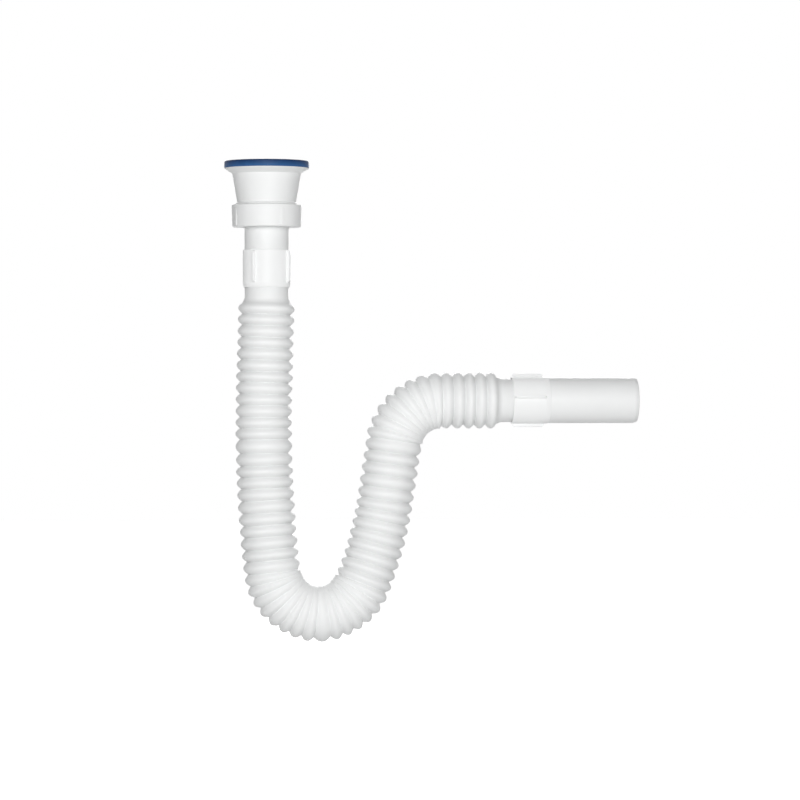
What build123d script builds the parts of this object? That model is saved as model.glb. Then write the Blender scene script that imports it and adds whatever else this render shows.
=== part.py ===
from build123d import *
import os

# Flexible basin trap
# A flanged funnel seals under the basin through a rim gasket, a union nut holds the tail pipe to it,
# and a corrugated hose bent to a U keeps the water seal and leads to a plain outlet pipe.
# Millimetres. The inlet runs down -Z from the gasket's top face at Z = 0, the outlet leaves along +X.

# Fits
turning_gap = 0.4
pressed_gap = 0.05
sleeve_gap = 0.15

# Rim gasket
mouth_d = 43.0
gasket_face = 2.6
gasket_skirt = 1.2
gasket_flare = 0.2
gasket_edge = 1.2

# Inlet funnel
flange_d = 56.2
rim_height = 2.3
collar_step = 1.3
collar_edge = 0.5
bevel_height = 3.3
cone_height = 20.3
cone_flare = 3.5
mouth_step = 0.6
funnel_wall = 2.4
neck_step = 0.7
shoulder_step = 1.1
shoulder_height = 1.3
spigot_d = 39.6
spigot_wall = 2.6

# Boss for the fixing screw, held on webs in the funnel
screw_core_d = 5.0
screw_clearance_d = 6.6
insert_d = 9.0
insert_length = 12.0
boss_wall = 2.0
boss_floor = 2.0
boss_drop = 13.0
web_count = 4
web_thickness = 2.2
web_drop = 3.0
web_height = 8.0

# Union nut and what it clamps
nut_height = 15.5
nut_wall = 4.2
nut_taper = 0.5
nut_floor = 3.0
nut_edge = 1.1
grip_count = 4
grip_width = 3.0
grip_turn = 23.0
grip_foot = 1.1
grip_head = 2.2
washer_thickness = 2.8
pipe_flange = 2.6

# Tail pipe, couplers and outlet pipe
tail_d = 30.8
pipe_wall = 1.9
tail_shown = 15.8
coupler_wall = 1.2
coupler_length = 26.2
coupler_stop = 1.5
coupler_taper = 3.2
coupler_lip = 0.6
rib_count = 4
rib_height = 2.1
rib_width = 1.8
rib_inset = 0.3
rib_slope = 1.2
upper_rib_turn = 55.0
outlet_rib_turn = 8.0
outlet_d = 32.0
outlet_shown = 62.7
outlet_lead = 2.6
outlet_edge = 0.9

# Corrugated hose: section of the folds and of the plain cuffs
crest_d = 39.8
root_d = 33.4
crest_share = 0.16
fold_close = 1.3
hose_wall = 0.8
cuff_shown = 10.8
cuff_blend = 3.5

# Corrugated hose: runs of its centre line, with the number of folds in each
leg_lean = 1.7
leg_length = 55.4
leg_folds = 7
sweep_radius = 937.0
sweep_turn = 8.1
sweep_folds = 16
bend_radius = 33.0
trap_turn = 152.0
trap_folds = 15
rise_radius = 270.0
rise_turn = 12.9
rise_folds = 8
riser_length = 42.1
riser_folds = 5
elbow_folds = 8
arm_length = 39.1
arm_folds = 5

# Radii that follow from the fits
skirt_r = flange_d / 2 + sleeve_gap
collar_r = flange_d / 2 + collar_step
spigot_r = spigot_d / 2
spigot_bore_r = spigot_r - spigot_wall
neck_r = spigot_r + neck_step
cone_top_r = neck_r + cone_flare
insert_hole_r = insert_d / 2 + pressed_gap
nut_bore_r = spigot_r + turning_gap
nut_top_r = nut_bore_r + nut_wall
clamped_r = spigot_r - turning_gap
tail_r = tail_d / 2
pipe_bore_r = tail_r - pipe_wall
coupler_bore_r = tail_r + pressed_gap
coupler_r = coupler_bore_r + coupler_wall
cuff_r = coupler_bore_r - sleeve_gap

# Levels down the inlet axis
seat_z = -gasket_face
rim_foot_z = seat_z - rim_height
collar_foot_z = rim_foot_z - collar_edge
cone_top_z = collar_foot_z - bevel_height
neck_z = cone_top_z - cone_height
shoulder_z = neck_z - shoulder_height / 2
spigot_top_z = neck_z - shoulder_height
boss_top_z = seat_z - boss_drop
web_top_z = boss_top_z - web_drop
web_foot_z = web_top_z - web_height
nut_top_z = spigot_top_z - turning_gap
nut_foot_z = nut_top_z - nut_height
nut_seat_z = nut_foot_z + nut_floor
washer_foot_z = nut_seat_z + pipe_flange
spigot_foot_z = washer_foot_z + washer_thickness
coupler_top_z = nut_foot_z - tail_shown
pipe_end_z = coupler_top_z - (coupler_length - coupler_stop) / 2
cuff_top_z = pipe_end_z - coupler_stop
leg_top_z = coupler_top_z - coupler_length - cuff_shown


# Rim gasket: a sealing face with a skirt round the flange
with BuildPart() as rim_gasket:
    with BuildSketch(Plane.XZ):
        with BuildLine():
            Polyline(
                (mouth_d / 2, 0),
                (skirt_r + gasket_skirt, 0),
                (skirt_r + gasket_skirt + gasket_flare, rim_foot_z),
                (skirt_r, rim_foot_z),
                (skirt_r, seat_z),
                (mouth_d / 2, seat_z),
                close=True,
            )
        make_face()
    revolve(axis=Axis.Z)
    fillet(rim_gasket.edges().group_by(Axis.Z)[-1].sort_by(SortBy.RADIUS)[-1], gasket_edge)


# Radius of the middle of the cone's wall, where the webs end
def wall_middle(z):
    share = (cone_top_z - z) / cone_height
    return cone_top_r - cone_flare * share - funnel_wall / 2


# Inlet funnel: flange, cone, shoulder and spigot, with the screw boss on its webs
with BuildPart() as inlet_funnel:
    with BuildSketch(Plane.XZ):
        with BuildLine():
            Polyline(
                (mouth_d / 2 + mouth_step, seat_z),
                (flange_d / 2, seat_z),
                (flange_d / 2, rim_foot_z),
                (collar_r, rim_foot_z),
                (collar_r, collar_foot_z),
                (cone_top_r, cone_top_z),
                (neck_r, neck_z),
                (neck_r + shoulder_step, shoulder_z),
                (neck_r + shoulder_step, spigot_top_z),
                (spigot_r, spigot_top_z),
                (spigot_r, spigot_foot_z),
                (spigot_bore_r, spigot_foot_z),
                (spigot_bore_r, spigot_top_z),
                (neck_r - funnel_wall, neck_z),
                (cone_top_r - funnel_wall, cone_top_z),
                close=True,
            )
        make_face()
    revolve(axis=Axis.Z)
    for k in range(web_count):
        with BuildSketch(Plane.XZ.rotated((0, 0, 360 * k / web_count))):
            with BuildLine():
                Polyline(
                    (insert_hole_r + boss_wall / 2, web_top_z),
                    (wall_middle(web_top_z), web_top_z),
                    (wall_middle(web_foot_z), web_foot_z),
                    (insert_hole_r + boss_wall / 2, web_foot_z),
                    close=True,
                )
            make_face()
        extrude(amount=web_thickness / 2, both=True)
    with BuildSketch(Plane.XY.offset(boss_top_z)):
        Circle(insert_hole_r + boss_wall)
    extrude(amount=-insert_length - boss_floor)
    with BuildSketch(Plane.XY.offset(boss_top_z)):
        Circle(insert_hole_r)
    extrude(amount=-insert_length, mode=Mode.SUBTRACT)
    with BuildSketch(Plane.XY.offset(boss_top_z - insert_length)):
        Circle(screw_clearance_d / 2)
    extrude(amount=-boss_floor, mode=Mode.SUBTRACT)

# Boss insert: the threaded bush that the fixing screw pulls on
with BuildPart() as boss_insert:
    with BuildSketch(Plane.XY.offset(boss_top_z)):
        Circle(insert_d / 2)
        Circle(screw_core_d / 2, mode=Mode.SUBTRACT)
    extrude(amount=-insert_length)

# Coupling nut: a tapered ring with an inward floor and upright grips
with BuildPart() as coupling_nut:
    with BuildSketch(Plane.XZ):
        with BuildLine():
            Polyline(
                (nut_bore_r, nut_top_z),
                (nut_top_r, nut_top_z),
                (nut_top_r - nut_taper, nut_foot_z),
                (tail_r + turning_gap, nut_foot_z),
                (tail_r + turning_gap, nut_seat_z),
                (nut_bore_r, nut_seat_z),
                close=True,
            )
        make_face()
    revolve(axis=Axis.Z)
    fillet(coupling_nut.edges().group_by(Axis.Z)[-1].sort_by(SortBy.RADIUS)[-1], nut_edge)
    fillet(coupling_nut.edges().group_by(Axis.Z)[0].sort_by(SortBy.RADIUS)[-1], nut_edge)
    with BuildSketch(Plane.XY.offset(nut_foot_z + grip_foot)):
        with PolarLocations(nut_top_r - nut_wall / 4, grip_count, start_angle=grip_turn):
            Rectangle(nut_wall / 2, grip_width)
    extrude(amount=nut_height - grip_foot - grip_head)

# Union washer: rubber between the spigot and the tail pipe's flange
with BuildPart() as union_washer:
    with BuildSketch(Plane.XY.offset(washer_foot_z)):
        Circle(clamped_r)
        Circle(spigot_bore_r, mode=Mode.SUBTRACT)
    extrude(amount=washer_thickness)

# Tail pipe: hangs by its flange on the nut's floor and ends on the coupler's stop
with BuildPart() as tail_pipe:
    with BuildSketch(Plane.XZ):
        with BuildLine():
            Polyline(
                (pipe_bore_r, washer_foot_z),
                (clamped_r, washer_foot_z),
                (clamped_r, nut_seat_z),
                (tail_r, nut_seat_z),
                (tail_r, pipe_end_z),
                (pipe_bore_r, pipe_end_z),
                close=True,
            )
        make_face()
    revolve(axis=Axis.Z)


# Coupler: a sleeve with a stop inside, a taper at one end and ribs along it,
# drawn down -Z from its plain end at the origin
def ribbed_coupler(rib_turn):
    wall_middle_r = coupler_bore_r + coupler_wall / 2
    taper_z = coupler_taper - coupler_length
    with BuildPart() as coupler:
        with BuildSketch(Plane.XZ):
            with BuildLine():
                Polyline(
                    (coupler_bore_r, 0),
                    (coupler_r, 0),
                    (coupler_r, taper_z),
                    (coupler_bore_r + coupler_lip, -coupler_length),
                    (coupler_bore_r, -coupler_length),
                    close=True,
                )
            make_face()
        revolve(axis=Axis.Z)
        with BuildSketch(Plane.XY.offset((coupler_stop - coupler_length) / 2)):
            Circle(wall_middle_r)
            Circle(pipe_bore_r, mode=Mode.SUBTRACT)
        extrude(amount=-coupler_stop)
        for k in range(rib_count):
            with BuildSketch(Plane.XZ.rotated((0, 0, rib_turn + 360 * k / rib_count))):
                with BuildLine():
                    Polyline(
                        (wall_middle_r, -rib_inset),
                        (coupler_r, -rib_inset),
                        (coupler_r + rib_height, -rib_inset - rib_slope),
                        (coupler_r + rib_height, taper_z + rib_slope),
                        (coupler_r, taper_z),
                        (wall_middle_r, taper_z),
                        close=True,
                    )
                make_face()
            extrude(amount=rib_width / 2, both=True)
    return coupler.part


# Upper coupler: joins the tail pipe to the hose
with BuildPart() as upper_coupler:
    add(ribbed_coupler(upper_rib_turn).moved(Location((0, 0, coupler_top_z))))

# Centre line of the hose, from the foot of its upper cuff to the root of its outlet cuff
with BuildLine(Plane.XZ) as centre_line:
    leg = PolarLine((0, leg_top_z), leg_length, angle=-90 - leg_lean)
    sweep_run = JernArc(leg @ 1, leg % 1, sweep_radius, sweep_turn)
    trap_bend = JernArc(sweep_run @ 1, sweep_run % 1, bend_radius, trap_turn)
    rise = JernArc(trap_bend @ 1, trap_bend % 1, rise_radius, rise_turn)
    riser = PolarLine(rise @ 1, riser_length, direction=rise % 1)
    elbow_turn = sweep_turn + trap_turn + rise_turn - leg_lean - 90
    elbow = JernArc(riser @ 1, riser % 1, bend_radius, -elbow_turn)
    arm = PolarLine(elbow @ 1, arm_length, direction=elbow % 1)

# Runs with their folds and how sharply they turn to the left, where the trap's bend turns by one
tight_turn = 0.5
runs = [
    (leg, leg_folds, 0),
    (sweep_run, sweep_folds, bend_radius / sweep_radius),
    (trap_bend, trap_folds, 1),
    (rise, rise_folds, bend_radius / rise_radius),
    (riser, riser_folds, 0),
    (elbow, elbow_folds, -1),
    (arm, arm_folds, 0),
]

# Stations along the outlet, on the level of the hose's arm
arm_end = arm @ 1
outlet_z = arm_end.Z
coupler_start_x = arm_end.X + cuff_shown
cuff_end_x = coupler_start_x + (coupler_length - coupler_stop) / 2
pipe_start_x = cuff_end_x + coupler_stop
coupler_end_x = coupler_start_x + coupler_length
outlet_end_x = coupler_end_x + outlet_shown


# A ring of the hose, moved to the left of the centre line
def ring(point, along, radius, shift=0):
    left = Vector(-along.Z, 0, along.X)
    return Plane(point + left * shift, x_dir=(0, 1, 0), z_dir=along), radius


# Stretches of rings that a skin of the hose is lofted through. Roots widen towards the inside of a bend,
# where the folds close up, and a stretch ends at each root of a tight bend.
def hose_stretches(root_radius, crest_radius, crest_shares, cuff_radius):
    down, out = Vector(0, 0, -1), Vector(1, 0, 0)
    upper_cuff = [
        ring(Vector(0, 0, cuff_top_z), down, cuff_radius),
        ring(Vector(0, 0, leg_top_z + cuff_blend), down, cuff_radius),
    ]
    outlet_cuff = [
        ring(arm_end, out, root_radius),
        ring(arm_end + out * cuff_blend, out, cuff_radius),
        ring(Vector(cuff_end_x, 0, outlet_z), out, cuff_radius),
    ]
    stretches = [upper_cuff]
    turn_before = 0
    for run, folds, turn in runs:
        for k in range(folds):
            root_turn = (turn_before + turn) / 2
            shift = fold_close * root_turn
            root = ring(run @ (k / folds), run % (k / folds), root_radius + abs(shift), shift)
            stretches[-1].append(root)
            if abs(root_turn) >= tight_turn:
                stretches.append([root])
            for share in crest_shares:
                along = (k + share) / folds
                stretches[-1].append(ring(run @ along, run % along, crest_radius))
            turn_before = turn
    stretches[-1] += outlet_cuff
    return stretches


# One skin of the hose, filled solid
def hose_skin(root_radius, crest_radius, crest_shares, cuff_radius):
    with BuildPart() as skin:
        for stretch in hose_stretches(root_radius, crest_radius, crest_shares, cuff_radius):
            for plane, radius in stretch:
                with BuildSketch(plane):
                    Circle(radius)
            loft(ruled=True)
    return skin.part


# Hose: one blown bellows with a plain cuff at each end, with flat crests outside and sharp ones inside
with BuildPart() as hose:
    crest_start = (1 - crest_share) / 2
    root_r, crest_r = root_d / 2, crest_d / 2
    add(hose_skin(root_r, crest_r, [crest_start, 1 - crest_start], cuff_r))
    add(hose_skin(root_r - hose_wall, crest_r - hose_wall, [0.5], cuff_r - hose_wall), mode=Mode.SUBTRACT)

# Outlet coupler: the same sleeve, laid along the arm with its taper flush with the outlet pipe
with BuildPart() as outlet_coupler:
    add(ribbed_coupler(outlet_rib_turn).moved(Location((coupler_start_x, 0, outlet_z), (0, -90, 0))))

# Outlet pipe: a stepped spigot in the coupler and a plain end, tapered to lead into the waste connection
with BuildPart() as outlet_pipe:
    with BuildSketch(Plane.XZ):
        with BuildLine():
            Polyline(
                (pipe_start_x, outlet_z + pipe_bore_r),
                (pipe_start_x, outlet_z + tail_r),
                (coupler_end_x, outlet_z + tail_r),
                (coupler_end_x, outlet_z + outlet_d / 2),
                (outlet_end_x - outlet_lead, outlet_z + outlet_d / 2),
                (outlet_end_x, outlet_z + outlet_d / 2 - outlet_edge),
                (outlet_end_x, outlet_z + pipe_bore_r),
                close=True,
            )
        make_face()
    revolve(axis=Axis((0, 0, outlet_z), (1, 0, 0)))

# Each piece is labelled and written to a file of its own
pieces = {
    "rim_gasket": rim_gasket,
    "inlet_funnel": inlet_funnel,
    "boss_insert": boss_insert,
    "coupling_nut": coupling_nut,
    "union_washer": union_washer,
    "tail_pipe": tail_pipe,
    "upper_coupler": upper_coupler,
    "hose": hose,
    "outlet_coupler": outlet_coupler,
    "outlet_pipe": outlet_pipe,
}
os.makedirs("parts", exist_ok=True)
for name, piece in pieces.items():
    piece.part.label = name
    export_step(piece.part, f"parts/{name}.step")
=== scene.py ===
import random
from math import cos, pi, radians, sin, tan

import bmesh
import bpy
from mathutils import Matrix, Vector


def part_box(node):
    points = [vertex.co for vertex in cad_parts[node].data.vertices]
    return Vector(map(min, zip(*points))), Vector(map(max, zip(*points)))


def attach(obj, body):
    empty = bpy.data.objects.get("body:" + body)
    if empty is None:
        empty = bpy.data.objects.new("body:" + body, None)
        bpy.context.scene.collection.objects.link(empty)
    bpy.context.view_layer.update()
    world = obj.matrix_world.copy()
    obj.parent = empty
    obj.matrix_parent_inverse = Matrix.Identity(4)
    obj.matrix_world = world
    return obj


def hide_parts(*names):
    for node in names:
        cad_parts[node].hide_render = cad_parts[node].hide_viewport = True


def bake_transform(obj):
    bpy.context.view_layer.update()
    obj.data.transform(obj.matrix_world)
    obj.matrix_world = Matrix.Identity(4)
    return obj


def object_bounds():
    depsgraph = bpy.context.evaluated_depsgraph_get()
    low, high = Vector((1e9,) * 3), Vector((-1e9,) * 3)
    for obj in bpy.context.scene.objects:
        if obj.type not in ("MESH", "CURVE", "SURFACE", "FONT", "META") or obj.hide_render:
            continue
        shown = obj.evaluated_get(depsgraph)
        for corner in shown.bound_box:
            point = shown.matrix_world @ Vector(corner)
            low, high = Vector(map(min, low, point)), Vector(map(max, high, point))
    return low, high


# Flexible basin trap: white moulded pipework with a corrugated hose and a blue rim gasket.
# Sizes are in millimetres and turn into metres where a mesh is made.

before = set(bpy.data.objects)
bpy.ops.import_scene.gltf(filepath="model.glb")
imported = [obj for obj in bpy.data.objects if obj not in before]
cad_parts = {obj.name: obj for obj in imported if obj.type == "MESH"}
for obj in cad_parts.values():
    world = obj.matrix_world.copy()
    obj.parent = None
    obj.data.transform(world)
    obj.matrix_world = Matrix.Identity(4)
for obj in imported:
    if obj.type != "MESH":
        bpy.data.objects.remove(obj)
cad_low, cad_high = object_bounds()
MM = 0.001


def span(node, axis):
    """Lowest and highest coordinate of a CAD node along an axis, in millimetres."""
    low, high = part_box(node)
    return low[axis] / MM, high[axis] / MM


# Sizes read from the frame

gasket_foot_z, gasket_top_z = span("rim_gasket", 2)
gasket_r = span("rim_gasket", 0)[1]
spigot_foot_z, seat_z = span("inlet_funnel", 2)
collar_r = span("inlet_funnel", 0)[1]
insert_foot_z, insert_top_z = span("boss_insert", 2)
insert_r = span("boss_insert", 0)[1]
nut_foot_z, nut_top_z = span("coupling_nut", 2)
washer_foot_z = span("union_washer", 2)[0]
clamped_r = span("union_washer", 0)[1]
pipe_end_z = span("tail_pipe", 2)[0]
coupler_top_z = span("upper_coupler", 2)[1]
coupler_r = span("upper_coupler", 0)[1]
cuff_top_z = span("hose", 2)[1]
crest_r = span("hose", 1)[1]
cuff_end_x = span("hose", 0)[1]
coupler_start_x, coupler_end_x = span("outlet_coupler", 0)
pipe_start_x, outlet_end_x = span("outlet_pipe", 0)
outlet_r = span("outlet_pipe", 1)[1]
outlet_z = sum(span("outlet_pipe", 2)) / 2

# Gasket and funnel

mouth_r = 21.5
skirt_r = 28.25
gasket_flare = 0.2
gasket_edge = 1.2
mouth_step = 0.6
flange_r = 28.1
collar_edge = 0.5
cone_top_r, cone_top_z = 24.0, -8.7
neck_r, neck_z = 20.5, -29.0
funnel_wall = 2.4
funnel_edge = 0.8
shoulder_r, shoulder_slope = 21.6, 0.65
spigot_r, spigot_top_z = 19.8, -30.3
spigot_bore_r = 17.2
boss_r = 6.55
boss_floor = 2.0
boss_edge = 0.5
insert_gap = 0.05
screw_r = 3.3
web_count = 4
web_drop = 3.0
web_height = 8.0
web_width = 2.2
web_root = 0.8
web_edge = 0.5

# Screw thread of the union, nut and tail pipe

thread_lead = 2.309
thread_depth = 0.9
thread_inset = 0.9
thread_foot, thread_crest = 1.3, 0.5
nut_bore_r = 20.2
nut_top_r = 24.4
nut_taper = 0.5
nut_rise = 0.25
nut_floor = 3.0
nut_hole_r = 15.8
nut_edge = 1.1
grip_count = 4
grip_turn = 23
grip_width = 3.0
grip_depth = 2.2
grip_foot, grip_head = 1.0, 2.2
grip_root_foot, grip_root_head = 0.7, 2.0
grip_edge = 0.5
seal_gap = 0.05
tail_r = 15.4
tail_edge = 0.4
pipe_bore_r = 13.5

# Couplers and outlet pipe

coupler_bore_r = 15.45
coupler_taper = 3.2
coupler_lip = 0.6
coupler_edge = 0.5
rib_count = 4
rib_width = 1.8
rib_height = 2.1
rib_inset = 0.3
rib_slope = 1.2
rib_root, rib_foot = 0.7, 0.1
rib_root_inset, rib_root_overlap = 0.2, 0.3
rib_edge = 0.45
upper_rib_turn, outlet_rib_turn = 55, 8
outlet_lead = 2.6
outlet_edge = 0.9
outlet_round = 2.5

# Section of the hose. Roots widen by fold_close towards the inside of the tight bends, where folds close up.

root_r = 16.7
hose_wall = 0.8
cuff_r = 15.3
cuff_blend = 3.5
fold_close = 1.45
fold_jitter = 0.07
crest_jitter = 0.3

# Shares of a fold at which the hose gets a ring, close together at its roots so these stay sharp
fold_shares = [0, 0.03, 0.09, 0.17, 0.26, 0.37, 0.5, 0.63, 0.74, 0.83, 0.91, 0.97]

# Folds that are longer than the others of their run, and by how much
long_folds = {12: 0.2, 31: 0.4}

# Runs of the hose's centre line: length or radius, turn in degrees and number of folds

leg_top_z = -99.0
leg_heading = -91.7
tight_radius = 33.0
hose_runs = [
    (55.4, 0.0, 7),
    (937.0, 8.1, 16),
    (tight_radius, 152.0, 15),
    (270.0, 12.9, 8),
    (42.1, 0.0, 5),
    (tight_radius, -81.3, 8),
    (39.1, 0.0, 5),
]
sweep_run, elbow_run = 1, 5
split_fold = 31

# Share of the elbow's chord by which the arm's span reaches past each end of the elbow
elbow_spread = 0.35

# Fineness of the meshes and the chance that makes the folds uneven

lathe_segments = 144
boss_segments = 72
hose_segments = 72
thread_steps = 96
thread_fade = 12
corner_steps = 4
corner_share = 0.45
block_corner_steps = 3
hose_seed = 7


# Mesh helpers


def add_object(name, vertices, faces):
    """A smooth mesh object from millimetre points, with outward normals."""
    mesh = bpy.data.meshes.new(name)
    mesh.from_pydata([Vector(v) * MM for v in vertices], [], faces)
    body = bmesh.new()
    body.from_mesh(mesh)
    bmesh.ops.recalc_face_normals(body, faces=body.faces)
    body.to_mesh(mesh)
    body.free()
    for polygon in mesh.polygons:
        polygon.use_smooth = True
    piece = bpy.data.objects.new(name, mesh)
    bpy.context.scene.collection.objects.link(piece)
    return piece


def rounded(outline, radius):
    """The closed outline with each corner turned into a curve, smaller where its sides are short."""
    points = []
    count = len(outline)
    for i, corner in enumerate(outline):
        here = Vector(corner)
        back = Vector(outline[i - 1]) - here
        ahead = Vector(outline[(i + 1) % count]) - here
        half = back.angle(ahead) / 2
        reach = min(radius / tan(half), corner_share * back.length, corner_share * ahead.length)
        start = here + back.normalized() * reach
        end = here + ahead.normalized() * reach
        for k in range(corner_steps + 1):
            t = k / corner_steps
            points.append((1 - t) ** 2 * start + 2 * t * (1 - t) * here + t * t * end)
    return points


def lathe(name, outline, along_x_at=None, segments=lathe_segments):
    """Turns a closed outline of (radius, height) about Z.

    With along_x_at, the height of an axis along X, it is turned about that axis instead."""
    rings = len(outline)
    vertices = []
    for k in range(segments):
        turn = 2 * pi * k / segments
        for radius, height in outline:
            side, front = radius * cos(turn), radius * sin(turn)
            if along_x_at is None:
                vertices.append((side, front, height))
            else:
                vertices.append((height, front, along_x_at + side))
    faces = []
    for k in range(segments):
        after = (k + 1) % segments
        for i in range(rings):
            j = (i + 1) % rings
            faces.append((k * rings + i, k * rings + j, after * rings + j, after * rings + i))
    return add_object(name, vertices, faces)


def helix(name, base_r, ridge_r, top_z, phase):
    """A right-hand screw thread up from the spigot's foot, its ridge fading in and out at the ends."""
    foot_z = spigot_foot_z + thread_inset
    count = int((top_z - foot_z) / thread_lead * thread_steps)
    vertices = []
    for k in range(count + 1):
        angle = 2 * pi * k / thread_steps + phase
        share = min(1.0, k / thread_fade, (count - k) / thread_fade)
        top_r = base_r + (ridge_r - base_r) * share
        height = foot_z + thread_lead * k / thread_steps
        for radius, width in ((base_r, thread_foot), (top_r, thread_crest)):
            for side in (-0.5, 0.5):
                vertices.append((radius * cos(angle), radius * sin(angle), height + side * width))
    faces = [(0, 1, 3, 2), tuple(4 * count + i for i in (0, 1, 3, 2))]
    for k in range(count):
        a, b = 4 * k, 4 * (k + 1)
        for i, j in ((0, 1), (1, 3), (3, 2), (2, 0)):
            faces.append((a + i, a + j, b + j, b + i))
    return add_object(name, vertices, faces)


def join(pieces):
    """Joins meshes into the first one."""
    whole = bmesh.new()
    for piece in pieces:
        whole.from_mesh(piece.data)
    whole.to_mesh(pieces[0].data)
    whole.free()
    for piece in pieces[1:]:
        bpy.data.objects.remove(piece)
    return pieces[0]


def rounded_block(name, outline, thickness, edge, turn):
    """A plate cut to an outline in the XZ plane, with rounded edges, turned about Z."""
    count = len(outline)
    vertices = [(x, side * thickness / 2, z) for side in (-1, 1) for x, z in outline]
    faces = [tuple(range(count)), tuple(range(2 * count - 1, count - 1, -1))]
    faces += [(i, (i + 1) % count, count + (i + 1) % count, count + i) for i in range(count)]
    block = add_object(name, vertices, faces)
    body = bmesh.new()
    body.from_mesh(block.data)
    bmesh.ops.bevel(
        body,
        geom=body.edges,
        offset=edge * MM,
        segments=block_corner_steps,
        profile=0.5,
        affect="EDGES",
        clamp_overlap=True,
    )
    body.to_mesh(block.data)
    body.free()
    for polygon in block.data.polygons:
        polygon.use_smooth = True
    block.data.transform(Matrix.Rotation(turn, 4, "Z"))
    return block


def ring_of_blocks(name, outline, thickness, edge, count, first_turn):
    """Blocks spaced evenly about Z, the first one turned by an angle in degrees."""
    return [
        rounded_block(f"{name}_{k}", outline, thickness, edge, radians(first_turn + 360 * k / count))
        for k in range(count)
    ]


# Material helpers

NOISE_LOW, NOISE_HIGH = 0.3, 0.7


def new_material(name):
    material = bpy.data.materials.new(name)
    material.use_nodes = True
    nodes = material.node_tree.nodes
    return material, nodes, material.node_tree.links, nodes["Principled BSDF"]


def noise(nodes, links, scale, detail, roughness=0.5):
    """Noise in the object's own metres."""
    place = nodes.new("ShaderNodeTexCoord")
    grain = nodes.new("ShaderNodeTexNoise")
    grain.inputs["Scale"].default_value = scale
    grain.inputs["Detail"].default_value = detail
    grain.inputs["Roughness"].default_value = roughness
    links.new(place.outputs["Object"], grain.inputs["Vector"])
    return grain.outputs["Fac"]


def ramp(nodes, links, value, low, high):
    """Colours from low to high over the middle of a noise's range."""
    stops = nodes.new("ShaderNodeValToRGB")
    stops.color_ramp.elements[0].position = NOISE_LOW
    stops.color_ramp.elements[1].position = NOISE_HIGH
    stops.color_ramp.elements[0].color = (*low, 1)
    stops.color_ramp.elements[1].color = (*high, 1)
    links.new(value, stops.inputs["Fac"])
    return stops.outputs["Color"]


def between(nodes, links, value, low, high):
    """A number from low to high over the middle of a noise's range."""
    scale = nodes.new("ShaderNodeMapRange")
    scale.inputs["From Min"].default_value = NOISE_LOW
    scale.inputs["From Max"].default_value = NOISE_HIGH
    scale.inputs["To Min"].default_value = low
    scale.inputs["To Max"].default_value = high
    links.new(value, scale.inputs["Value"])
    return scale.outputs["Result"]


def bump(nodes, links, heights, shader):
    """Stacks bumps, given as (height, distance in metres, strength), on the shader's normal."""
    normal = None
    for height, distance, strength in heights:
        step = nodes.new("ShaderNodeBump")
        step.inputs["Distance"].default_value = distance
        step.inputs["Strength"].default_value = strength
        links.new(height, step.inputs["Height"])
        if normal is not None:
            links.new(normal, step.inputs["Normal"])
        normal = step.outputs["Normal"]
    links.new(normal, shader.inputs["Normal"])


def paint_root_shade(nodes, links, colour, shade):
    """Painted shade in the hose's creases: the colour, times the shade at the roots of the hose's open folds
    and as it is at their crests.
    """
    painted_lightness = nodes.new("ShaderNodeAttribute")
    painted_lightness.attribute_name = "painted_lightness"
    scale = nodes.new("ShaderNodeMapRange")
    scale.inputs["To Min"].default_value = shade
    links.new(painted_lightness.outputs["Fac"], scale.inputs["Value"])
    product = nodes.new("ShaderNodeMix")
    product.data_type = "RGBA"
    product.blend_type = "MULTIPLY"
    product.inputs["Factor"].default_value = 1.0
    links.new(colour, product.inputs["A"])
    links.new(scale.outputs["Result"], product.inputs["B"])
    return product.outputs["Result"]


def white_plastic(name, tone, gloss, shine, grain_strength, softness=0.0, painted_root_shade=1.0):
    """Moulded white plastic: a faint cloudy tone, uneven gloss, slow sink marks and a fine moulded grain, and
    with a root shade below 1 a painted shade at the roots of the hose's folds.
    """
    material, nodes, links, shader = new_material(name)
    cloud = noise(nodes, links, scale=45, detail=3)
    colour = ramp(nodes, links, cloud, [c * 0.985 for c in tone], tone)
    # Painted shade: darkens the roots of the hose's folds, read from the mesh's lightness attribute.
    if painted_root_shade < 1:
        colour = paint_root_shade(nodes, links, colour, painted_root_shade)
    links.new(colour, shader.inputs["Base Color"])
    sheen = noise(nodes, links, scale=160, detail=4)
    links.new(between(nodes, links, sheen, gloss - 0.04, gloss + 0.05), shader.inputs["Roughness"])
    shader.inputs["Specular IOR Level"].default_value = shine
    shader.inputs["Diffuse Roughness"].default_value = softness
    grain = noise(nodes, links, scale=2600, detail=2)
    sink = noise(nodes, links, scale=70, detail=1)
    bump(nodes, links, [(sink, 0.0003, 0.06), (grain, 0.00002, grain_strength)], shader)
    return material


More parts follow.
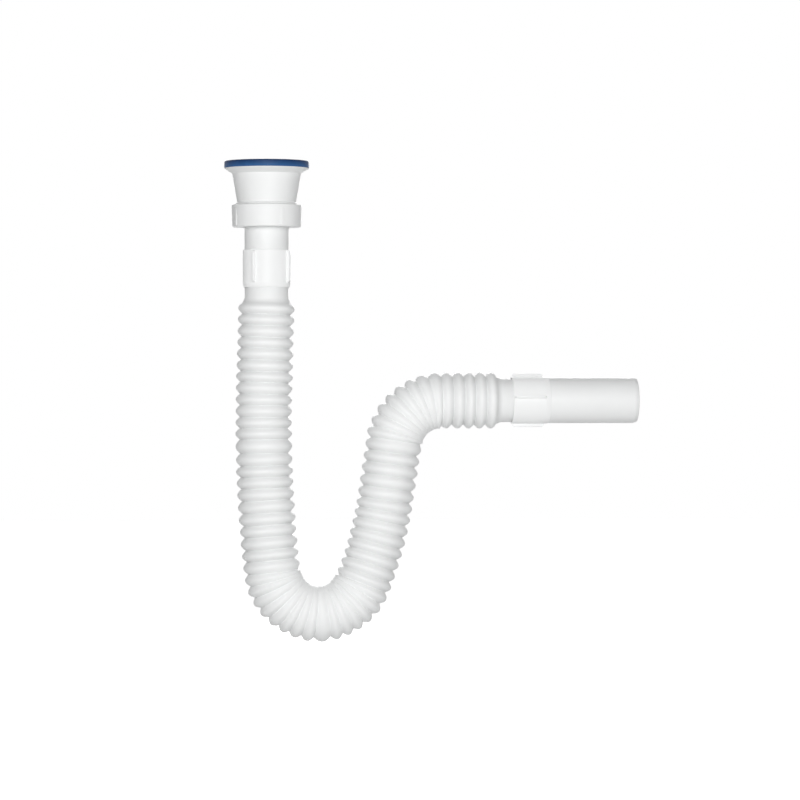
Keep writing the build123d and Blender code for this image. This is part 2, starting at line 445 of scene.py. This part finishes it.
def gasket_rubber():
    """Soft blue rubber with a talc bloom and a fine matt grain, with painted shade that makes it near black
    at its top and lighter towards its foot, as the light falls on it.
    """
    material, nodes, links, shader = new_material("gasket_rubber")
    bloom = noise(nodes, links, scale=240, detail=5, roughness=0.6)
    # Painted shade: a near-black blue for the top and a lighter blue for the foot, blended by height below.
    painted_shade_top_colour = ramp(nodes, links, bloom, (0.003, 0.016, 0.065), (0.006, 0.024, 0.085))
    painted_shade_foot_colour = ramp(nodes, links, bloom, (0.028, 0.100, 0.260), (0.036, 0.118, 0.295))
    place = nodes.new("ShaderNodeTexCoord")
    parts = nodes.new("ShaderNodeSeparateXYZ")
    links.new(place.outputs["Object"], parts.inputs["Vector"])
    painted_shade_depth = nodes.new("ShaderNodeMapRange")
    painted_shade_depth.inputs["From Min"].default_value = gasket_top_z * MM
    painted_shade_depth.inputs["From Max"].default_value = gasket_foot_z * MM
    links.new(parts.outputs["Z"], painted_shade_depth.inputs["Value"])
    painted_shade_blend = nodes.new("ShaderNodeMix")
    painted_shade_blend.data_type = "RGBA"
    links.new(painted_shade_depth.outputs["Result"], painted_shade_blend.inputs["Factor"])
    links.new(painted_shade_top_colour, painted_shade_blend.inputs["A"])
    links.new(painted_shade_foot_colour, painted_shade_blend.inputs["B"])
    links.new(painted_shade_blend.outputs["Result"], shader.inputs["Base Color"])
    wear = noise(nodes, links, scale=420, detail=4)
    links.new(between(nodes, links, wear, 0.40, 0.52), shader.inputs["Roughness"])
    shader.inputs["Specular IOR Level"].default_value = 0.12
    grain = noise(nodes, links, scale=3200, detail=2)
    bump(nodes, links, [(bloom, 0.0002, 0.12), (grain, 0.00004, 0.25)], shader)
    return material


def washer_rubber():
    """Black rubber with a dusty bloom."""
    material, nodes, links, shader = new_material("washer_rubber")
    bloom = noise(nodes, links, scale=300, detail=5, roughness=0.6)
    colour = ramp(nodes, links, bloom, (0.012, 0.012, 0.013), (0.030, 0.030, 0.031))
    links.new(colour, shader.inputs["Base Color"])
    links.new(between(nodes, links, bloom, 0.62, 0.80), shader.inputs["Roughness"])
    grain = noise(nodes, links, scale=3000, detail=2)
    bump(nodes, links, [(grain, 0.00004, 0.3)], shader)
    return material


def turned_brass():
    """Brass with fine turning marks round its axis."""
    material, nodes, links, shader = new_material("turned_brass")
    shader.inputs["Metallic"].default_value = 1.0
    stain = noise(nodes, links, scale=500, detail=4)
    colour = ramp(nodes, links, stain, (0.55, 0.36, 0.13), (0.70, 0.50, 0.21))
    links.new(colour, shader.inputs["Base Color"])
    links.new(between(nodes, links, stain, 0.24, 0.38), shader.inputs["Roughness"])
    place = nodes.new("ShaderNodeTexCoord")
    marks = nodes.new("ShaderNodeTexWave")
    marks.bands_direction = "Z"
    marks.inputs["Scale"].default_value = 900
    marks.inputs["Distortion"].default_value = 0.4
    links.new(place.outputs["Object"], marks.inputs["Vector"])
    bump(nodes, links, [(marks.outputs["Fac"], 0.00003, 0.3)], shader)
    return material


moulded = white_plastic(
    "moulded_white", tone=(0.840, 0.848, 0.846), gloss=0.42, shine=0.20, grain_strength=0.20
)
bright = white_plastic(
    "bright_white", tone=(0.872, 0.878, 0.877), gloss=0.40, shine=0.20, grain_strength=0.10, softness=0.35
)
# The hose's white, with painted shade at the roots of its folds.
blown = white_plastic(
    "blown_white", tone=(0.872, 0.880, 0.878), gloss=0.44, shine=0.30, grain_strength=0.22, painted_root_shade=0.91
)
gasket_blue = gasket_rubber()
washer_black = washer_rubber()
brass = turned_brass()


def finish(piece, material, body, slot, *nodes):
    """Gives a piece its material and its body if one is given, and hides the CAD nodes it stands for; the
    slot is not used.
    """
    piece.data.materials.clear()
    piece.data.materials.append(material)
    if body:
        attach(piece, body)
    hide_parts(*nodes)


def dress(node, material):
    """Gives a CAD node that stays a better material."""
    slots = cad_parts[node].data.materials
    slots.clear()
    slots.append(material)


# Inlet: gasket and funnel


def make_gasket():
    outline = [
        (mouth_r, gasket_top_z),
        (gasket_r - gasket_flare, gasket_top_z),
        (gasket_r, gasket_foot_z),
        (skirt_r, gasket_foot_z),
        (skirt_r, seat_z),
        (mouth_r, seat_z),
    ]
    gasket = lathe("gasket_ring", rounded(outline, gasket_edge))
    finish(gasket, gasket_blue, "funnel", "gasket_rubber", "rim_gasket")


def cone_wall_middle(z):
    """Radius of the middle of the funnel's cone at a height."""
    share = (cone_top_z - z) / (cone_top_z - neck_z)
    return cone_top_r - (cone_top_r - neck_r) * share - funnel_wall / 2


def make_funnel():
    thread_root_r = spigot_r - thread_depth
    outline = [
        (mouth_r + mouth_step, seat_z),
        (flange_r, seat_z),
        (flange_r, gasket_foot_z),
        (collar_r, gasket_foot_z),
        (collar_r, gasket_foot_z - collar_edge),
        (cone_top_r, cone_top_z),
        (neck_r, neck_z),
        (shoulder_r, neck_z - shoulder_slope),
        (shoulder_r, spigot_top_z),
        (thread_root_r, spigot_top_z),
        (thread_root_r, spigot_foot_z),
        (spigot_bore_r, spigot_foot_z),
        (spigot_bore_r, spigot_top_z),
        (neck_r - funnel_wall, neck_z),
        (cone_top_r - funnel_wall, cone_top_z),
    ]
    shell = lathe("funnel_shell", rounded(outline, funnel_edge))
    thread = helix("spigot_thread", thread_root_r, spigot_r, spigot_top_z - thread_inset, 0)
    boss_foot_z = insert_foot_z - boss_floor
    boss_outline = [
        (insert_r + insert_gap, insert_top_z),
        (boss_r, insert_top_z),
        (boss_r, boss_foot_z),
        (screw_r, boss_foot_z),
        (screw_r, insert_foot_z),
        (insert_r + insert_gap, insert_foot_z),
    ]
    boss = lathe("screw_boss", rounded(boss_outline, boss_edge), segments=boss_segments)
    web_top_z = insert_top_z - web_drop
    web_foot_z = web_top_z - web_height
    web = [
        (boss_r - web_root, web_top_z),
        (cone_wall_middle(web_top_z), web_top_z),
        (cone_wall_middle(web_foot_z), web_foot_z),
        (boss_r - web_root, web_foot_z),
    ]
    webs = ring_of_blocks("web", web, web_width, web_edge, web_count, 0)
    funnel = join([shell, thread, boss, *webs])
    finish(funnel, moulded, "funnel", "white_plastic", "inlet_funnel")
    dress("boss_insert", brass)


# Union: nut, washer and tail pipe


def make_nut():
    nut_seat_z = nut_foot_z + nut_floor
    outline = [
        (nut_bore_r, nut_top_z + nut_rise),
        (nut_top_r, nut_top_z + nut_rise),
        (nut_top_r - nut_taper, nut_foot_z),
        (nut_hole_r, nut_foot_z),
        (nut_hole_r, nut_seat_z),
        (nut_bore_r, nut_seat_z),
    ]
    ring = lathe("nut_ring", rounded(outline, nut_edge))
    thread = helix("nut_thread", nut_bore_r, nut_bore_r - thread_depth, nut_top_z - thread_inset, pi)
    grip = [
        (nut_top_r - grip_depth, nut_foot_z + grip_root_foot),
        (nut_top_r, nut_foot_z + grip_foot),
        (nut_top_r, nut_top_z - grip_head),
        (nut_top_r - grip_depth, nut_top_z - grip_root_head),
    ]
    grips = ring_of_blocks("grip", grip, grip_width, grip_edge, grip_count, grip_turn)
    nut = join([ring, thread, *grips])
    finish(nut, moulded, "nut", "white_plastic", "coupling_nut")


def make_tail():
    nut_seat_z = nut_foot_z + nut_floor
    flange_top_z = washer_foot_z - seal_gap
    outline = [
        (pipe_bore_r, flange_top_z),
        (clamped_r, flange_top_z),
        (clamped_r, nut_seat_z),
        (tail_r, nut_seat_z),
        (tail_r, pipe_end_z),
        (pipe_bore_r, pipe_end_z),
    ]
    tail = lathe("tail_tube", rounded(outline, tail_edge))
    finish(tail, moulded, "tail", "white_plastic", "tail_pipe")
    dress("union_washer", washer_black)


# Couplers: one sleeve with ribs, drawn along Z and then laid in place


def coupler_sleeve(name, rib_turn):
    """A sleeve from its plain end at height 0 down to its tapered end."""
    length = coupler_end_x - coupler_start_x
    stop = pipe_start_x - cuff_end_x
    stop_top_z, stop_foot_z = -(length - stop) / 2, -(length + stop) / 2
    taper_z = coupler_taper - length
    outline = [
        (coupler_bore_r, 0),
        (coupler_r, 0),
        (coupler_r, taper_z),
        (coupler_bore_r + coupler_lip, -length),
        (coupler_bore_r, -length),
        (coupler_bore_r, stop_foot_z),
        (pipe_bore_r, stop_foot_z),
        (pipe_bore_r, stop_top_z),
        (coupler_bore_r, stop_top_z),
    ]
    sleeve = lathe(name, rounded(outline, coupler_edge))
    rib = [
        (coupler_r - rib_root, -rib_root_inset),
        (coupler_r + rib_foot, -rib_inset),
        (coupler_r + rib_height, -rib_inset - rib_slope),
        (coupler_r + rib_height, taper_z + rib_slope),
        (coupler_r + rib_foot, taper_z),
        (coupler_r - rib_root, taper_z - rib_root_overlap),
    ]
    ribs = ring_of_blocks(f"{name}_rib", rib, rib_width, rib_edge, rib_count, rib_turn)
    return join([sleeve, *ribs])


def make_couplers():
    upper = coupler_sleeve("upper_sleeve", upper_rib_turn)
    upper.data.transform(Matrix.Translation((0, 0, coupler_top_z * MM)))
    finish(upper, bright, "tail", "bright_plastic", "upper_coupler")
    outer = coupler_sleeve("outlet_sleeve", outlet_rib_turn)
    place = Matrix.Translation((coupler_start_x * MM, 0, outlet_z * MM))
    outer.data.transform(place @ Matrix.Rotation(-pi / 2, 4, "Y"))
    finish(outer, bright, "outlet", "bright_plastic", "outlet_coupler")


def make_outlet():
    outline = [
        (pipe_bore_r, pipe_start_x),
        (tail_r, pipe_start_x),
        (tail_r, coupler_end_x),
        (outlet_r, coupler_end_x),
        (outlet_r, outlet_end_x - outlet_lead),
        (outlet_r - outlet_edge, outlet_end_x),
        (pipe_bore_r, outlet_end_x),
    ]
    pipe = lathe("outlet_tube", rounded(outline, outlet_round), along_x_at=outlet_z)
    finish(pipe, moulded, "outlet", "white_plastic", "outlet_pipe")


# Hose: a smooth bellows, in two pieces that meet at a root in the trap's bend


def hose_stations(chance):
    """(x, z, heading, turn, fold, share of the fold) along the centre line, and the ends of its runs.

    The turn is 1 in a bend to the left as tight as the trap's and -1 in one to the right, and it eases in
    over a fold. Folds are a little uneven in length."""
    x, z, heading = 0.0, leg_top_z, radians(leg_heading)
    stations, turns, run_ends = [], [], []
    fold = 0
    for size, turn, folds in hose_runs:
        side = (turn > 0) - (turn < 0)

        def at(t):
            if side == 0:
                return x + size * t * cos(heading), z + size * t * sin(heading), heading
            ahead = heading + radians(turn) * t
            across, down = sin(ahead) - sin(heading), cos(ahead) - cos(heading)
            return x + side * size * across, z - side * size * down, ahead

        lengths = []
        for k in range(folds):
            lengths.append(1 + long_folds.get(fold + k, 0) + chance.uniform(-fold_jitter, fold_jitter))
        for k in range(folds):
            for share in fold_shares:
                along = sum(lengths[:k]) + lengths[k] * share
                stations.append((*at(along / sum(lengths)), fold + k, share))
                turns.append(side * tight_radius / size)
        fold += folds
        x, z, heading = at(1)
        run_ends.append((x, z))
    eased = []
    half_fold = len(fold_shares) // 2
    for i in range(len(turns)):
        near = turns[max(0, i - half_fold) : i + half_fold + 1]
        eased.append(sum(near) / len(near))
    return [(*place[:3], turn, *place[3:]) for place, turn in zip(stations, eased)], run_ends


def tube_wall(name, rings):
    """A closed wall through rings of (x, z, heading, outer radius, lightness).

    x and z are the ring's centre, and the lightness, a painted shade factor for the roots of the folds, is
    kept on the mesh for the material."""
    inner = [(x, z, heading, radius - hose_wall, light) for x, z, heading, radius, light in reversed(rings)]
    loop = rings + inner
    vertices = []
    for x, z, heading, radius, _ in loop:
        for k in range(hose_segments):
            turn = 2 * pi * k / hose_segments
            across = radius * sin(turn)
            vertices.append((x - across * sin(heading), radius * cos(turn), z + across * cos(heading)))
    faces = []
    for i in range(len(loop)):
        here = i * hose_segments
        there = (i + 1) % len(loop) * hose_segments
        for k in range(hose_segments):
            after = (k + 1) % hose_segments
            faces.append((here + k, here + after, there + after, there + k))
    wall = add_object(name, vertices, faces)
    for cap in (len(rings) - 1, len(loop) - 1):
        for k in range(hose_segments):
            wall.data.polygons[cap * hose_segments + k].use_smooth = False
    # Painted shade factor for each ring, stored for the hose's material.
    painted_lightness = wall.data.attributes.new("painted_lightness", "FLOAT", "POINT")
    painted_lightness.data.foreach_set("value", [ring[-1] for ring in loop for _ in range(hose_segments)])
    return wall


def make_hose():
    chance = random.Random(hose_seed)
    stations, run_ends = hose_stations(chance)
    fold_count = sum(folds for _, _, folds in hose_runs)
    crests = [crest_r - chance.uniform(0, crest_jitter) for _ in range(fold_count)]

    def fold_ring(x, z, heading, tightness, fold, share):
        rise = sin(pi * share)
        shift = fold_close * tightness * (1 - rise)
        radius = root_r + (crests[fold] - root_r) * rise + abs(shift)
        # Painted shade factor: 1 at the crests and in the tight bends, falling to 0 at the roots of the open
        # folds.
        light = 1 - (1 - rise) * (1 - abs(tightness))
        return x - shift * sin(heading), z + shift * cos(heading), heading, radius, light

    down, level = radians(-90), 0.0
    arm_end_x = run_ends[-1][0]
    # The last value is the painted shade factor: none on the cuffs, full at the root where the arm meets its
    # cuff.
    upper_cuff = [(0, cuff_top_z, down, cuff_r, 1), (0, leg_top_z + cuff_blend, down, cuff_r, 1)]
    outlet_cuff = [
        (arm_end_x, outlet_z, level, root_r, 0),
        (arm_end_x + cuff_blend, outlet_z, level, cuff_r, 1),
        (cuff_end_x, outlet_z, level, cuff_r, 1),
    ]
    rings = upper_cuff + [fold_ring(*station) for station in stations] + outlet_cuff
    split = len(upper_cuff) + split_fold * len(fold_shares)
    leg = tube_wall("hose_leg", rings[: split + 1])
    arm = tube_wall("hose_arm", rings[split:])
    leg_foot_z = run_ends[sweep_run][1]
    elbow_start, elbow_end = Vector(run_ends[elbow_run - 1]), Vector(run_ends[elbow_run])
    spread = elbow_spread * (elbow_end - elbow_start)
    for piece, bodies, start, end in (
        (leg, ("tail", "trap"), (0, leg_top_z), (0, leg_foot_z)),
        (arm, ("trap", "outlet"), elbow_start - spread, elbow_end + spread),
    ):
        finish(piece, blown, None, "hose_plastic", "hose")
        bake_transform(piece)


# Studio: floor, backdrop light and camera, in metres and watts

MM_PER_PIXEL = 0.70
PHOTO_AXIS_X = 267.1
PHOTO_TOP_Y = 161.9
PHOTO_CENTRE = 400
CAMERA_SWING = radians(6)
CAMERA_DISTANCE = 2.9
SENSOR_WIDTH = 36
AMBIENT = 0.22
FLOOR_SIZE = 12
FLOOR_DROP = 0.09
FLOOR_TONE = 0.8
FLOOR_GLOW = 0.8
LAMP_DISTANCE = 2.0
LAMP_SIZE = 0.9
FRONT_POWER, FRONT_RAISE = 28.0, 0.15
BACK_POWER, BACK_RAISE = 18.0, 0.3


def make_camera():
    aim_x = (PHOTO_CENTRE - PHOTO_AXIS_X) * MM_PER_PIXEL / cos(CAMERA_SWING) * MM
    aim_z = (PHOTO_TOP_Y - PHOTO_CENTRE) * MM_PER_PIXEL * MM
    aim = Vector((aim_x, 0, aim_z))
    lens = bpy.data.cameras.new("camera")
    lens.sensor_width = SENSOR_WIDTH
    lens.lens = SENSOR_WIDTH * CAMERA_DISTANCE / (2 * PHOTO_CENTRE * MM_PER_PIXEL * MM)
    camera = bpy.data.objects.new("camera", lens)
    bpy.context.scene.collection.objects.link(camera)
    away = Vector((-sin(CAMERA_SWING), -cos(CAMERA_SWING), 0))
    camera.location = aim + away * CAMERA_DISTANCE
    camera.rotation_euler = (-away).to_track_quat("-Z", "Y").to_euler()
    bpy.context.scene.camera = camera
    return aim, away


def seen_directly(nodes, links):
    """1 for what the camera sees, by itself or in a mirror or glass, else 0."""
    path = nodes.new("ShaderNodeLightPath")
    total = path.outputs["Is Camera Ray"]
    for ray in ("Is Glossy Ray", "Is Transmission Ray"):
        add = nodes.new("ShaderNodeMath")
        add.operation = "MAXIMUM"
        links.new(total, add.inputs[0])
        links.new(path.outputs[ray], add.inputs[1])
        total = add.outputs["Value"]
    return total


def make_world():
    world = bpy.data.worlds.new("studio")
    bpy.context.scene.world = world
    world.use_nodes = True
    nodes, links = world.node_tree.nodes, world.node_tree.links
    shown = nodes.new("ShaderNodeBackground")
    shown.inputs["Strength"].default_value = 1.0
    shown.inputs["Color"].default_value = (1, 1, 1, 1)
    fill = nodes["Background"]
    fill.inputs["Color"].default_value = (1, 1, 1, 1)
    fill.inputs["Strength"].default_value = AMBIENT
    mix = nodes.new("ShaderNodeMixShader")
    links.new(seen_directly(nodes, links), mix.inputs["Fac"])
    links.new(fill.outputs["Background"], mix.inputs[1])
    links.new(shown.outputs["Background"], mix.inputs[2])
    links.new(mix.outputs["Shader"], nodes["World Output"].inputs["Surface"])


def make_floor():
    """A pale floor under the part that keeps its soft shadow and looks as white as the background."""
    bpy.ops.mesh.primitive_plane_add(size=FLOOR_SIZE, location=(0, 0, cad_low[2] - FLOOR_DROP))
    floor = bpy.context.object
    floor.name = "floor"
    material, nodes, links, shader = new_material("floor_white")
    shader.inputs["Base Color"].default_value = (FLOOR_TONE, FLOOR_TONE, FLOOR_TONE, 1)
    shader.inputs["Roughness"].default_value = 0.9
    shader.inputs["Emission Color"].default_value = (1, 1, 1, 1)
    glow = nodes.new("ShaderNodeMath")
    glow.operation = "MULTIPLY"
    glow.inputs[1].default_value = FLOOR_GLOW
    links.new(seen_directly(nodes, links), glow.inputs[0])
    links.new(glow.outputs["Value"], shader.inputs["Emission Strength"])
    floor.data.materials.append(material)


def add_softbox(name, aim, direction, power):
    """A square soft light that faces the part."""
    data = bpy.data.lights.new(name, "AREA")
    data.shape = "SQUARE"
    data.size = LAMP_SIZE
    data.energy = power
    lamp = bpy.data.objects.new(name, data)
    bpy.context.scene.collection.objects.link(lamp)
    lamp.location = aim + direction.normalized() * LAMP_DISTANCE
    lamp.rotation_euler = (-direction).to_track_quat("-Z", "Y").to_euler()
    lamp.visible_camera = False


make_gasket()
make_funnel()
make_nut()
make_tail()
make_couplers()
make_hose()
make_outlet()

aim, towards_camera = make_camera()
make_world()
make_floor()
add_softbox("front_softbox", aim, Vector((0, 0, FRONT_RAISE)) + towards_camera, FRONT_POWER)
add_softbox("back_softbox", aim, Vector((0, 0, BACK_RAISE)) - towards_camera, BACK_POWER)

bpy.context.scene.view_settings.view_transform = "Standard"
